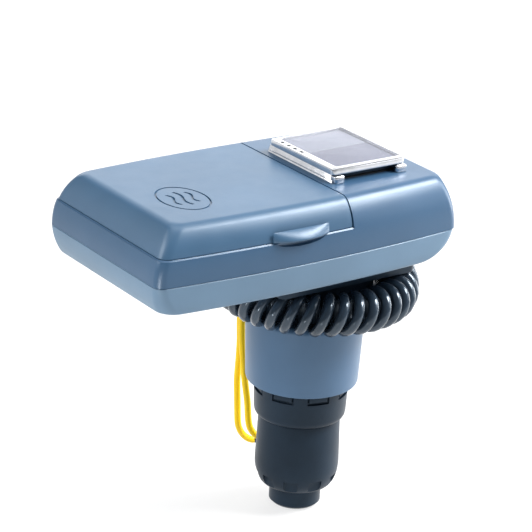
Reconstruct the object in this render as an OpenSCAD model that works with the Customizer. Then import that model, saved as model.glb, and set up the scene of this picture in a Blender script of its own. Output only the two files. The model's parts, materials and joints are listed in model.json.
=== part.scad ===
// Solar-powered irrigation controller head: a control box with a book-style lid and a solar panel,
// docked on a black neck above a latching solenoid actuator, with a curly cord wound round the neck.
// Origin: actuator axis at the seat face of the valve adapter. +Z up, +X towards the solar panel end.

/* [Control box] */
// Length of the box, lid end to solar end
case_l = 125; // [115:1:140]
// Width of the box at its middle
case_w = 77.4; // [72:0.2:90]
// How far each long side bows out between its ends
side_bow = 3.4; // [1:0.2:5]
// Height from the seam to the flat top
top_h = 19.1; // [17:0.1:24]
// Height from the seam to the lid's parting line
band_h = 9.4; // [8.6:0.1:10]
// Depth of the lower case below the seam
base_h = 10.2; // [9.6:0.1:14]
// Wall thickness of the shells
wall = 2.2; // [1.8:0.1:2.6]
// Distance from the lid's parting plane to the box's middle
part_x = 14.4; // [12:0.1:15]
// Length of the rounded sweep under the solar end
end_sweep = 13; // [8:0.5:16]

/* [Keypad] */
// Radius of a push button
button_r = 4.6; // [3.5:0.1:5]
// Travel of a push button
button_travel = 0.9; // [0.5:0.1:0.9]
// Distance between neighbouring buttons
button_pitch = 15; // [13:0.5:16]

/* [Solar panel] */
// Length of the panel along the box
panel_l = 31.6; // [30:0.1:32]
// Width of the panel across the box
panel_w = 38.3; // [36:0.1:44]
// Distance from the box's middle to the panel's near edge
panel_x = 17.4; // [17:0.1:19]

/* [Actuator] */
// Radius of the actuator housing at its lower rim
housing_r = 20.6; // [19:0.1:21]
// Radius of the neck between the actuator and the box
neck_r = 13; // [11:0.5:13.5]
// Radius of the valve adapter's cup
cup_r = 15.5; // [14.6:0.1:16]
// Radius of the adapter's threaded spigot, measured over its crests
spigot_r = 9.5; // [8:0.1:12]
// Length of the spigot
spigot_l = 8; // [6:0.5:12]
// Lift of the plunger
plunger_lift = 1.8; // [1:0.1:1.9]
// Distance from the actuator axis to the middle of the box
axis_offset = 24.2; // [22:0.1:26]

/* [Cords] */
// Outer radius of the curly cord's coils
coil_r = 8; // [7:0.1:8.1]
// Radius of the ring that the curly cord makes round the neck
ring_r = 29.6; // [28.6:0.1:30]
// Diameter of the lead that is wound into the curly cord
lead_d = 3.8; // [3:0.1:4.2]
// Diameter of the sensor wire
wire_d = 2.6; // [1.4:0.1:2.7]

/* [Hidden] */
$fn = 64;

half_l = case_l / 2;
half_w = case_w / 2;

// heights on the actuator axis
cup_top = 27.8;
base_top = 41.6;
housing_top = 68.8;
neck_top = 85.3;
dock_h = 9;
box_bottom = neck_top + dock_h;
seam_z = box_bottom + base_h;

// heights in the box, counted from the seam
floor_low = 4.4;
floor_high = 6.4;
plate_t = 0.6;
board_t = 1.6;
roof = top_h - wall;
roof_t = roof / top_h;
slit = 0.2;

module in_box() translate([-axis_offset, 0, seam_z]) children();

// ---- outlines: a rounded rectangle whose long sides bow outwards ----
corner_seg = 6;
side_seg = 8;
function bowed(p) = [p[0], p[1] * (1 - side_bow / half_w * pow(p[0] / half_l, 2))];
function corner(cx, cy, r, a0) =
  [for (i = [0 : corner_seg]) let (a = a0 + 90 * i / corner_seg) [cx + r * cos(a), cy + r * sin(a)]];
function side(x0, x1, y) = [for (i = [1 : side_seg - 1]) [x0 + (x1 - x0) * i / side_seg, y]];
function plan(left, right, w, r) = [for (p = concat(
    corner(left + r, r - w, r, 180), side(left + r, right - r, -w),
    corner(right - r, r - w, r, 270), corner(right - r, w - r, r, 0),
    side(right - r, left + r, w), corner(left + r, w - r, r, 90))) bowed(p)];
function inner_plan(d, r) = plan(d - half_l, half_l - d, half_w - d, r);

// profile above the seam: the insets grow towards the flat top
top_inset_end = 8.8;
top_inset_solar = 4.8;
top_inset_side = 6.3;
function end_inset(t) = top_inset_end * pow(t, 2.4);
function solar_inset(t) = top_inset_solar * pow(t, 1.8);
function side_inset(t) = top_inset_side * pow(t, 3.2);
function upper_ring(z) = let (t = z / top_h)
  plan(end_inset(t) - half_l, half_l - solar_inset(t), half_w - side_inset(t), 4 + t);

// profile below the seam: a long sweep at the solar end, small insets elsewhere
base_inset_end = 3.1;
base_inset_side = 1.2;
function lower_ring(z) = let (t = -z / base_h)
  plan(base_inset_end * pow(t, 2) - half_l, half_l - end_sweep * (1 - sqrt(1 - pow(0.97 * t, 2))),
    half_w - base_inset_side * pow(t, 5), 4 + 2 * t);

module loft(rings, heights) {
  n = len(rings[0]);
  last = (len(rings) - 1) * n;
  polyhedron(
    points = [for (k = [0 : len(rings) - 1]) for (p = rings[k]) [p[0], p[1], heights[k]]],
    faces = concat(
      [[for (i = [0 : n - 1]) i]],
      [for (k = [0 : len(rings) - 2]) for (i = [0 : n - 1]) let (a = k * n, j = (i + 1) % n)
        each [[a + i, a + n + i, a + n + j], [a + i, a + n + j, a + j]]],
      [[for (i = [n - 1 : -1 : 0]) last + i]]));
}

module upper_loft(z0, z1, steps) {
  heights = [for (i = [0 : steps]) z0 + (z1 - z0) * i / steps];
  loft([for (z = heights) upper_ring(z)], heights);
}

module prism(outline, z0, z1) translate([0, 0, z0]) linear_extrude(z1 - z0) polygon(outline);
module slab(x0, x1, y0, y1, z0, z1) translate([x0, y0, z0]) cube([x1 - x0, y1 - y0, z1 - z0]);
module round_slab(x0, x1, y0, y1, z0, z1, r) translate([0, 0, z0]) linear_extrude(z1 - z0) union() {
  translate([x0 + r, y0]) square([x1 - x0 - 2 * r, y1 - y0]);
  translate([x0, y0 + r]) square([x1 - x0, y1 - y0 - 2 * r]);
  for (x = [x0 + r, x1 - r]) for (y = [y0 + r, y1 - r]) translate([x, y]) circle(r);
}
module post(r, z0, z1) translate([0, 0, z0]) cylinder(r = r, h = z1 - z0);
module ring_post(r_in, r_out, z0, z1) difference() {
  post(r_out, z0, z1);
  post(r_in, z0 - 1, z1 + 1);
}
module torus(major, minor, z)
  translate([0, 0, z]) rotate_extrude() translate([major, 0]) circle(minor, $fn = 24);
module at_spots(spots) for (s = spots) translate([s[0], s[1], 0]) children();

// ---- tubes swept along a list of points ----
function unit(v) = v / norm(v);
function heading(pts, i) = unit(pts[min(i + 1, len(pts) - 1)] - pts[max(i - 1, 0)]);
function ring_at(p, d, r, sides, up) = let (u = unit(cross(up, d)), v = cross(d, u))
  [for (k = [0 : sides - 1]) p + r * (cos(360 * k / sides) * u + sin(360 * k / sides) * v)];

module tube(pts, r, up, sides = 8) {
  n = len(pts);
  polyhedron(
    points = [for (i = [0 : n - 1]) each ring_at(pts[i], heading(pts, i), r, sides, up)],
    faces = concat(
      [[for (k = [sides - 1 : -1 : 0]) k]],
      [for (i = [0 : n - 2]) for (k = [0 : sides - 1]) let (a = i * sides, j = (k + 1) % sides)
        each [[a + k, a + j, a + sides + j], [a + k, a + sides + j, a + sides + k]]],
      [[for (k = [0 : sides - 1]) (n - 1) * sides + k]]));
}

// a point on the Catmull-Rom curve through four neighbours
function blend4(a, b, c, d, t) = 0.5 * (2 * b + (c - a) * t + (2 * a - 5 * b + 4 * c - d) * t * t
  + (3 * b - a - 3 * c + d) * t * t * t);
function smooth(pts, steps) = let (n = len(pts)) concat(
  [for (i = [0 : n - 2]) for (s = [0 : steps - 1])
    blend4(pts[max(i - 1, 0)], pts[i], pts[i + 1], pts[min(i + 2, n - 1)], s / steps)],
  [pts[n - 1]]);

// ================= control box =================
screw_spots = [[-52, 29], [-52, -29], [50, 26.5], [50, -26.5]];
main_spots = [[-49, 21], [-49, -21], [5, 21], [5, -21]];
charge_spots = [[18, 18.5], [18, -18.5], [45, 18.5], [45, -18.5]];
solar_spots = [[33, 9], [33, -9]];
dock_spots = [[-23, -18], [-23, 8], [7.5, -18.5], [9, 9.5]];
base_floor = wall - base_h;
seat_z = -7;
boss_r = 3.6;

gasket_out = inner_plan(0.9, 3.4);
gasket_in = inner_plan(1.7, 3);
gasket_t = 1;

module lower_case() color("#7f9ab3") in_box() difference() {
  union() {
    difference() {
      heights = [for (t = [1, 0.96, 0.88, 0.76, 0.6, 0.4, 0.2, 0]) -base_h * t];
      loft([for (z = heights) lower_ring(z)], heights);
      prism(plan(4.6 - half_l, half_l - 7.2, half_w - 2.6, 4), base_floor, 1);
    }
    at_spots(screw_spots) post(boss_r, base_floor - 0.5, 0);
    at_spots(charge_spots) post(2.6, base_floor - 0.5, 0);
  }
  difference() {
    prism(gasket_out, -gasket_t, 1);
    prism(gasket_in, -gasket_t - 1, 2);
  }
  at_spots(screw_spots) {
    post(3, -base_h - 1, seat_z);
    post(1.6, -base_h, 1);
  }
  at_spots(charge_spots) post(1.25, -6.5, 1);
  translate([axis_offset, 0, 0]) {
    at_spots(dock_spots) post(1.6, -base_h - 1, base_floor + 1);
    at_spots([box_gland_xy]) post(3, -base_h - 1, base_floor + 1);
    at_spots([grommet_xy]) post(2.4, -base_h - 1, base_floor + 1);
  }
}

module case_gasket() color("#22262b") in_box() difference() {
  prism(gasket_out, -gasket_t, 0);
  prism(gasket_in, -gasket_t - 1, 1);
}

module case_screws() color("silver") in_box() at_spots(screw_spots) {
  post(2.8, seat_z - 2.4, seat_z);
  post(1.5, seat_z - 0.5, 4);
}

// hinge: two stations on the back long side
hinge_y = half_w + 2.3;
hinge_z = band_h + 0.1;
hinge_r = 2;
hinge_pin_r = 1;
hinge_spots = [-35, -5];
lid_knuckle = 7;
case_knuckle = 4.6;
knuckle_gap = 0.4;

pin_half = lid_knuckle / 2 + knuckle_gap + case_knuckle;
leaf_root = half_w - 3;

module barrel(x0, x1, r)
  translate([x0, hinge_y, hinge_z]) rotate([0, 90, 0]) cylinder(r = r, h = x1 - x0);
module leaf(x0, x1, z0, z1) slab(x0, x1, leaf_root, hinge_y, z0, z1);

module case_ears() for (x = hinge_spots) for (x0 = [x - pin_half, x + pin_half - case_knuckle]) {
  barrel(x0, x0 + case_knuckle, hinge_r);
  leaf(x0, x0 + case_knuckle, hinge_z - hinge_r, hinge_z - slit);
}

well = plan(4.5 - half_l, 9.5, half_w - 3.4, 3);
lid_seal_out = plan(2.7 - half_l, 11.4, half_w - 2, 4);
lid_seal_in = plan(3.7 - half_l, 10.4, half_w - 2.8, 3.4);
lid_seal_t = 0.8;
lcd_at = [-32, 0];
lcd_size = [22, 34];
button_x = -6;
button_y = [for (i = [0 : 3]) (i - 1.5) * button_pitch];
button_clear = 0.4;

module upper_case() color("#57748f") in_box() difference() {
  union() {
    difference() {
      union() {
        upper_loft(0, band_h, 3);
        intersection() {
          upper_loft(band_h, top_h, 6);
          slab(part_x, half_l, -half_w, half_w, 0, top_h + 1);
        }
      }
      prism(inner_plan(2.4, 3.2), -1, floor_low);
      prism(well, floor_high, band_h + 1);
      prism(plan(part_x + wall, half_l - solar_inset(roof_t) - wall, half_w - side_inset(roof_t) - wall, 3),
        floor_low - 0.5, roof);
    }
    at_spots([screw_spots[0], screw_spots[1]]) post(boss_r, 0, floor_low + 0.5);
    at_spots([screw_spots[2], screw_spots[3]]) post(boss_r, 0, roof + 0.5);
    at_spots(main_spots) post(2.5, board_t, floor_low + 0.5);
    case_ears();
  }
  at_spots(screw_spots) post(1.5, -1, 4.2);
  at_spots(main_spots) post(1.25, 0, 4.3);
  at_spots(solar_spots) post(1.1, roof - 1, top_h + 1);
  difference() {
    prism(lid_seal_out, band_h - lid_seal_t, band_h + 0.1);
    prism(lid_seal_in, band_h - lid_seal_t - 1, band_h + 1);
  }
  lcd_pane(0, 0, floor_high + 1);
  for (y = button_y) translate([button_x, y, floor_low - 1]) cylinder(r = button_r + button_clear, h = 4);
  for (x = hinge_spots) barrel(x - pin_half - 1, x + pin_half + 1, hinge_pin_r);
}

lip_x = -7.7;
lip_chord = 23;
lip_depth = 3.2;
lip_r = (pow(lip_chord / 2, 2) + pow(lip_depth, 2)) / (2 * lip_depth);
lid_low = band_h + slit;
lid_right = part_x - 2 * slit;
step_z = 14;

// the lid is hollowed in two steps, each as wide as the wall allows at its top
module lid_hollow(z1, z0) {
  t = z1 / top_h;
  prism(plan(end_inset(t) + wall - half_l, lid_right - wall, half_w - side_inset(t) - wall, 3), z0, z1);
}

module lid() color("#8fa9c2") in_box() difference() {
  union() {
    intersection() {
      upper_loft(lid_low, top_h, 6);
      slab(-half_l - 1, lid_right, -half_w, half_w, 0, top_h + 1);
    }
    intersection() {
      translate([lip_x, -half_w - lip_depth + lip_r + 0.2, lid_low])
        cylinder(r = lip_r, h = 2.8, $fn = 128);
      slab(lip_x - lip_chord, lip_x + lip_chord, -half_w - 10, -half_w + 1.5, 0, top_h);
    }
    for (x = hinge_spots) {
      barrel(x - lid_knuckle / 2, x + lid_knuckle / 2, hinge_r);
      leaf(x - lid_knuckle / 2, x + lid_knuckle / 2, lid_low, lid_low + hinge_r - slit);
    }
  }
  lid_hollow(step_z, lid_low - 1);
  lid_hollow(roof + 0.2, step_z - 0.1);
  for (x = hinge_spots) barrel(x - pin_half, x + pin_half, hinge_pin_r + 0.06);
}

module lid_gasket() color("#22262b") in_box() difference() {
  prism(lid_seal_out, band_h - lid_seal_t, band_h + 0.1);
  prism(lid_seal_in, band_h - lid_seal_t - 1, band_h + 1);
}

module lid_hinge_pins() color("silver") in_box()
  for (x = hinge_spots) barrel(x - pin_half, x + pin_half, hinge_pin_r);

window_edge = 1.5;
module lcd_pane(grow, z0, z1) {
  half = lcd_size / 2 + [grow, grow];
  slab(lcd_at[0] - half[0], lcd_at[0] + half[0], lcd_at[1] - half[1], lcd_at[1] + half[1], z0, z1);
}

module faceplate() color("#c9ced3") in_box() difference() {
  prism(plan(4.8 - half_l, 9.2, half_w - 3.7, 2.8), floor_high, floor_high + plate_t);
  lcd_pane(window_edge, 0, top_h);
  for (y = button_y) translate([button_x, y, 0]) cylinder(r = button_r + button_clear, h = top_h);
}
module lcd_window() color("#dfe8ee") in_box() lcd_pane(window_edge - 0.1, floor_high, floor_high + plate_t);
module lcd_module() color("#8a937f") in_box() lcd_pane(2.5, board_t, floor_low);

mat_t = 0.7;
mat_half = [6, 28.5];
module button(i) color("#2f3a45") in_box() translate([button_x, button_y[i], 0]) {
  post(button_r, floor_low - 1, floor_high + plate_t + 1.2);
  post(button_r + 0.9, floor_low - 1, floor_low - 0.1);
}
module keypad_mat() color("#e9e6dc") in_box() difference() {
  slab(button_x - mat_half[0], button_x + mat_half[0], -mat_half[1], mat_half[1], board_t, board_t + mat_t);
  at_spots(main_spots) post(2.8, 0, floor_low);
}
module main_board() color("#2f6b3f") in_box() difference() {
  slab(-52, 8, -29, 29, 0, board_t);
  at_spots(main_spots) post(1.4, -1, board_t + 1);
  at_spots(screw_spots) post(boss_r + 0.4, -1, board_t + 1);
}
module charge_board() color("#2f6b3f") in_box() difference() {
  slab(15.2, 48, -21.5, 21.5, 0, board_t);
  at_spots(charge_spots) post(1.4, -1, board_t + 1);
}
module board_screws() color("silver") in_box() {
  at_spots(main_spots) {
    post(2.2, -1.4, 0);
    post(1.25, -0.2, 4.2);
  }
  at_spots(charge_spots) {
    post(2.2, board_t, board_t + 1.4);
    post(1.25, -6, board_t + 0.2);
  }
}
module supercapacitors() color("#1f3f7a") in_box() for (s = [-1, 1])
  translate([28, s > 0 ? 1.5 : -16.5, board_t + 4.6]) rotate([-90, 0, 0]) cylinder(r = 4.5, h = 15);
module terminal_block() color("#3c8f4a") in_box() difference() {
  slab(36, 45, -9, 9, board_t, board_t + 9);
  for (i = [-1.5 : 1 : 1.5]) translate([40.5, i * 4.4, board_t + 5]) cylinder(r = 1.5, h = 5);
}

// ================= solar panel =================
tray_t = 0.5;
seal_t = 0.4;
frame_low = top_h + 2.7;
frame_high = top_h + 4.9;
panel_y0 = -20.3;
front_y = -21.4;
glass_x = [20.6, 48.4];
glass_y = [-17.6, 17.3];
cell_split = 1.5;
cell_low = frame_low + 0.8;
cell_high = frame_low + 1.2;
slot_x = panel_x + 1;
slot_size = [1.4, 1.8];
slot_y = [for (i = [0 : 3]) 11.5 - 3.9 * i];

module glass_slab(inset, z0, z1) slab(glass_x[0] + inset, glass_x[1] - inset,
  glass_y[0] + inset, glass_y[1] - inset, z0, z1);
module cell(y0, y1) slab(glass_x[0] + 0.3, glass_x[1] - 0.3, y0, y1, cell_low, cell_high);

module solar_seal() color("#1c2127") in_box() difference() {
  slab(panel_x + 1.6, panel_x + panel_l - 1, -18, 17.5, top_h, top_h + seal_t);
  at_spots(solar_spots) post(1.1, 0, 40);
}
module solar_tray() color("#dfe3e8") in_box() difference() {
  union() {
    slab(panel_x, panel_x + panel_l, -16, 18.7, top_h + seal_t, top_h + seal_t + tray_t);
    slab(panel_x + panel_l - 3, panel_x + panel_l, -18.6, -15, top_h + seal_t, top_h + seal_t + tray_t);
    slab(panel_x, panel_x + 1.2, -19.6, 18.7, top_h, frame_low - 0.3);
    slab(panel_x + 0.3, panel_x + 4.6, front_y, -18.2, top_h, frame_low - 0.2);
    slab(panel_x + panel_l - 4.6, panel_x + panel_l, front_y, -18.2, top_h, frame_low - 0.2);
  }
  at_spots(solar_spots) post(1.1, 0, 40);
}
module solar_carrier() color("#15191e") in_box() difference() {
  slab(panel_x + 1.6, panel_x + panel_l - 1, -18, 17.4, top_h + seal_t + tray_t, frame_low);
  at_spots(solar_spots) post(1, 0, frame_low - 0.4);
}
module solar_backplate() color("#20242c") in_box() glass_slab(0.1, frame_low, cell_low);
module solar_cell_rear() color("#c3cbe0") in_box() cell(cell_split + 0.2, glass_y[1] - 0.3);
module solar_cell_front() color("#8f90a6") in_box() cell(glass_y[0] + 0.3, cell_split - 0.2);
module solar_glass() color("#d5dcec") in_box() glass_slab(0.1, cell_high, frame_high - 0.1);
module solar_frame() color("#e8ebef") in_box() difference() {
  round_slab(panel_x, panel_x + panel_l, panel_y0, panel_y0 + panel_w, frame_low, frame_high, 1.6);
  glass_slab(0, frame_low - 1, frame_high + 1);
  for (y = slot_y) slab(slot_x, slot_x + slot_size[0], y, y + slot_size[1], frame_high - 0.9, frame_high + 1);
}
module solar_screws() color("silver") in_box() at_spots(solar_spots) {
  post(2.2, roof - 1.5, roof);
  post(1, roof - 0.5, frame_low - 0.5);
}

// ================= dock and neck =================
dock_x = [-28, 12];
dock_y = [-23.5, 13];
ring_x = 4.3;
ring_y = 0.7;
plug_r = 10;
plug_top = neck_top + 5.6;
box_gland_xy = [8, 29];
grommet_xy = [-5, 33];

// the dock's spool hangs round the neck with the curly cord wound round it; a ledge bears its raised end
spool_r = 17.8;
spool_front_r = 20.9;
spool_low = 72;
ledge_x = [14, 30.5];
ledge_y = [-5, 7];
ledge_t = 1.6;

module dock_bracket() color("#1d242c") difference() {
  union() {
    round_slab(dock_x[0], dock_x[1], dock_y[0], dock_y[1], neck_top, box_bottom, 2.5);
    translate([ring_x, ring_y, 0]) {
      post(spool_r, spool_low, box_bottom);
      intersection() {
        post(spool_front_r, spool_low, box_bottom);
        slab(-spool_front_r, spool_front_r, -spool_front_r, -8, spool_low - 1, box_bottom + 1);
      }
    }
    slab(ledge_x[0], ledge_x[1], ledge_y[0], ledge_y[1], spool_low, spool_low + ledge_t);
  }
  post(neck_r + 0.2, spool_low - 1, neck_top);
  slab(-6, 6, 0, spool_r + 5, spool_low - 1, gland_z + 6.2);
  post(plug_r + 0.2, neck_top - 1, plug_top + 0.4);
  at_spots(dock_spots) post(1.5, neck_top + 2, box_bottom + 1);
}
module dock_screws() color("silver") at_spots(dock_spots) {
  post(2.8, seam_z + base_floor, seam_z + base_floor + 1.8);
  post(1.5, neck_top + 2.2, seam_z + base_floor + 0.4);
}
gland_z = 77.6;
pad_y = 13.6;
neck_spots = [for (a = [30, 150, 270]) [9 * cos(a), 9 * sin(a)]];
module neck_post() color("#1d242c") difference() {
  union() {
    post(neck_r, housing_top, neck_top);
    post(plug_r, neck_top - 1, plug_top);
    slab(-5, 5, 6, pad_y, gland_z - 5.5, gland_z + 5.5);
  }
  post(4, housing_top - 1, gland_z + 4);
  translate([0, 0, gland_z]) rotate([-90, 0, 0]) cylinder(r = 3, h = 20);
  at_spots(neck_spots) post(1.25, housing_top - 1, housing_top + 7);
}
module neck_screws() color("silver") at_spots(neck_spots) {
  post(2.2, housing_top - 3.6, housing_top - 2);
  post(1.25, housing_top - 2.5, housing_top + 6.5);
}
module actuator_gland() color("#15191e") translate([0, 0, gland_z]) rotate([-90, 0, 0]) {
  translate([0, 0, pad_y]) cylinder(r = 4.4, h = 2.2);
  translate([0, 0, pad_y + 1.5]) cylinder(r = 3.4, h = 3.5);
  translate([0, 0, 8]) cylinder(r = 3, h = pad_y - 7);
}
module box_gland() color("#15191e") translate([box_gland_xy[0], box_gland_xy[1], 0]) {
  post(4.6, box_bottom - 2.4, box_bottom);
  post(3.4, box_bottom - 5, box_bottom - 2);
  post(3, box_bottom - 1, box_bottom + wall);
}
module sensor_grommet() color("#15191e") translate([grommet_xy[0], grommet_xy[1], 0]) {
  post(4, box_bottom - 1.6, box_bottom);
  post(2.4, box_bottom - 1, box_bottom + wall);
}

// ================= cords =================
ring_z = neck_top - coil_r - 0.2;
gap_half = 32;
arc_from = 90 + gap_half;
arc_to = 450 - gap_half;
arc_steps = 48;
lead_reach = coil_r - lead_d / 2;

// the ring lies flat under the dock, then draws in and climbs beside it up to the box
climb = 7.7;
climb_from = 308;
climb_span = 66;
draw_in = 3.2;
draw_from = 326;
draw_span = 50;
function ease(t) = t <= 0 ? 0 : t >= 1 ? 1 : t * t * (3 - 2 * t);
function beside(a, out) = let (r = ring_r - draw_in * ease((a - draw_from) / draw_span) + out)
  [ring_x + r * cos(a), ring_y + r * sin(a), ring_z + climb * ease((a - climb_from) / climb_span)];

module curly_cord() color("#171d24")
  tube([for (i = [0 : arc_steps]) beside(arc_from + (arc_to - arc_from) * i / arc_steps, 0)],
    coil_r, [0, 0, 1], 16);

// the free stretch from the coil's right end hangs in a bow and rises into the box
tail_box_pts = [beside(arc_to - 2, -lead_reach), [14.5, 17.4, 80.3], [13.1, 19.7, 76.6], [10.8, 24, 75.6],
  [8.8, 27.5, 78.6], [8.1, 28.8, 83], [8, 29, 86.5], [box_gland_xy[0], box_gland_xy[1], box_bottom - 5]];
// the free stretch from the coil's left end hangs in a bow and rises into the neck
tail_actuator_pts = [beside(arc_from + 2, lead_reach), [-13.9, 30.6, 73.2], [-10.2, 29.8, 71],
  [-5, 28, 72], [-1.4, 25, 75.4], [-0.1, 21.6, 77.4], [0, pad_y + 5, gland_z]];

module cord_tail_box() color("#171d24") tube(smooth(tail_box_pts, 3), lead_d / 2, [0.83, 0.56, 0]);
module cord_tail_actuator() color("#171d24")
  tube(smooth(tail_actuator_pts, 3), lead_d / 2, [0.3, 0.6, 0.74]);

// the sensor wire hangs in one long loop, and a sleeved splice makes the turn at its foot
wire_top = box_bottom - 1.6;
splice_pts = [[6.2, 36.2, -0.6], [10, 34.9, 0.1], [11.7, 31.5, 2], [10, 28.1, 3.9], [6.2, 26.9, 4.7]];
wire_left_pts = [[-4.3, 34.7, wire_top], [-4.2, 34.8, 75], [-3.8, 35, 53], [-3.3, 35.1, 43], [-3.4, 35.2, 35],
  [-3.5, 35.4, 27], [-2.8, 35.6, 18], [-2, 35.9, 9.6], [-0.9, 36.2, 6], [1.1, 36.5, 2.8], [3.7, 36.5, 0.4],
  splice_pts[0]];
wire_right_pts = [[-5.8, 31.6, wire_top], [-5.6, 31.8, 75], [-5.2, 31.8, 54.6], [-4.7, 31.7, 44.8],
  [-4.1, 31.2, 36.8], [-3.5, 30.4, 28.8], [-2.7, 29.3, 20.7], [-2.5, 28.2, 13], [-1.9, 27.6, 9.8],
  [-0.1, 27, 7.1], [2.6, 26.7, 5.4], splice_pts[4]];

module sensor_wire() color("#f5d716") {
  tube(smooth(wire_left_pts, 3), wire_d / 2, [0, 1, 0]);
  tube(smooth(wire_right_pts, 3), wire_d / 2, [0, 1, 0]);
}
module wire_splice() color("#20262d") tube(smooth(splice_pts, 3), wire_d / 2 + 0.2, [0.12, 0.57, 0.82]);

// ================= actuator =================
housing_draft = 1;
shell_r = 17.5;
rim_r = 2;
can_low = 46;
can_high = 64;
plate = 1.2;
tube_r = 5;
tube_bore = 4.3;
plunger_r = 4.2;
plunger_low = 25.4;
plunger_high = 46;
seat = 24;
spring_high = 36;

// the housing widens a little towards its rounded top
module actuator_housing() color("#5b7697") difference() {
  rotate_extrude($fn = 128) polygon(concat(
    [[0, base_top], [housing_r - 0.8, base_top], [housing_r, base_top + 0.8]],
    [for (a = [0 : 15 : 90])
      [housing_r + housing_draft + rim_r * (cos(a) - 1), housing_top + rim_r * (sin(a) - 1)]],
    [[0, housing_top]]));
  post(shell_r, base_top - 1, housing_top - 2);
  post(3, housing_top - 3, housing_top + 1);
  at_spots(neck_spots) post(1.4, housing_top - 3, housing_top + 1);
}
module flux_can() color("#8b8f94") difference() {
  post(17, can_low, can_high);
  post(15.6, can_low - 1, can_high - plate);
  post(tube_r + 0.1, can_low, can_high + 1);
}
module flux_washer() color("#8b8f94") ring_post(tube_r + 0.1, 15.5, can_low, can_low + plate);
module bobbin() color("#efe9da") difference() {
  post(15.4, can_low + plate + 0.1, can_high - plate - 0.1);
  ring_post(tube_r + 1.1, 17, can_low + 2 * plate + 0.1, can_high - 2 * plate - 0.1);
  post(tube_r + 0.1, can_low, can_high);
}
module winding() color("#b5682f")
  ring_post(tube_r + 1.2, 14.6, can_low + 2 * plate + 0.2, can_high - 2 * plate - 0.2);
module latch_magnet() color("#55585c") post(5.5, can_high + 0.1, can_high + 1.1);
module pole_piece() color("#9b9fa3") post(tube_bore - 0.02, plunger_high + plunger_lift + 0.4, can_high);
module core_tube() color("#c9a24d") ring_post(tube_bore, tube_r, spring_high, can_high - plate);

module plunger() color("#a9adb1") {
  post(plunger_r, plunger_low + 0.5, plunger_high);
  post(6.4, plunger_low, plunger_low + 1.4);
}
module plunger_seal() color("#1a1d20") post(3.4, seat + 0.05, plunger_low);
spring_wire = 0.35;
spring_r = 5.3;
spring_turns = 5;
spring_steps = 12 * spring_turns;
spring_low = plunger_low + 1.4 + spring_wire + 0.05;
spring_rise = spring_high - spring_low - spring_wire - 0.05;
module plunger_spring() color("silver") tube(
  [for (i = [0 : spring_steps]) let (a = 360 * spring_turns * i / spring_steps)
    [spring_r * cos(a), spring_r * sin(a), spring_low + spring_rise * i / spring_steps]],
  spring_wire, [0, 0, 1], 6);

window_turn = 31.5;
module actuator_base() color("#222a33") difference() {
  union() {
    rotate_extrude($fn = 128) polygon([[0, cup_top], [15.3, cup_top], [16, cup_top + 0.3],
      [16.6, cup_top + 1], [16.9, cup_top + 2.2], [17.4, base_top], [0, base_top]]);
    post(17.2, base_top - 1, 45.5);
    post(12, 20, cup_top + 1);
  }
  ring_post(15.7, 20, 42.6, 44.4);
  ring_post(10.4, 13, 22.5, 24.3);
  post(8, 19, 26);
  post(7, 25, spring_high);
  post(tube_r + 0.05, spring_high - 1, 50);
  for (i = [0 : 7]) rotate([0, 0, window_turn + 45 * i]) slab(16.4, 20, -4.2, 4.2, 37.6, 40.8);
}
module base_oring() color("#15181b") torus(16.6, 0.8, 43.5);
module adapter_oring() color("#15181b") torus(11.3, 0.8, 23.4);
module spigot_oring() color("#15181b") torus(spigot_r - 0.85, 0.8, groove_z);

// the cup narrows towards its top and is rounded under its foot
groove_z = -2.5;
foot_r = 4;
foot_h = 9;
cup_taper = 0.5;
module valve_adapter() color("#1b2229") difference() {
  union() {
    rotate_extrude($fn = 128) polygon(concat([[0, 0], [11.2, 0]],
      [for (a = [-75 : 15 : 0]) [cup_r + foot_r * (cos(a) - 1), foot_h * (1 + sin(a))]],
      [[cup_r, foot_h + 1], [cup_r - cup_taper, cup_top - 1], [cup_r - cup_taper - 0.5, cup_top], [0, cup_top]]));
    post(spigot_r, -spigot_l, 1);
  }
  difference() {
    post(12.2, 19.5, cup_top + 1);
    post(3, 18, seat);
  }
  ring_post(spigot_r - 1.7, spigot_r + 1, groove_z - 0.9, groove_z + 0.9);
  post(0.8, -spigot_l - 1, seat + 1);
  for (a = [0, 120, 240]) rotate([0, 0, a]) translate([5.2, 0, 0]) post(1.2, -spigot_l - 1, 21);
}

lower_case();
upper_case();
case_gasket();
case_screws();
lid();
lid_gasket();
lid_hinge_pins();
faceplate();
lcd_window();
lcd_module();
button(0);  // button_1
button(1);  // button_2
button(2);  // button_3
button(3);  // button_4
keypad_mat();
main_board();
charge_board();
board_screws();
supercapacitors();
terminal_block();
solar_seal();
solar_tray();
solar_carrier();
solar_backplate();
solar_cell_rear();
solar_cell_front();
solar_glass();
solar_frame();
solar_screws();
dock_bracket();
dock_screws();
neck_post();
neck_screws();
box_gland();
actuator_gland();
sensor_grommet();
curly_cord();
cord_tail_box();
cord_tail_actuator();
sensor_wire();
wire_splice();
actuator_housing();
flux_can();
flux_washer();
bobbin();
winding();
latch_magnet();
pole_piece();
core_tube();
plunger();
plunger_seal();
plunger_spring();
actuator_base();
base_oring();
valve_adapter();
adapter_oring();
spigot_oring();
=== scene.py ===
import json
import math

import bpy
import numpy as np
from mathutils import Matrix, Vector


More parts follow.
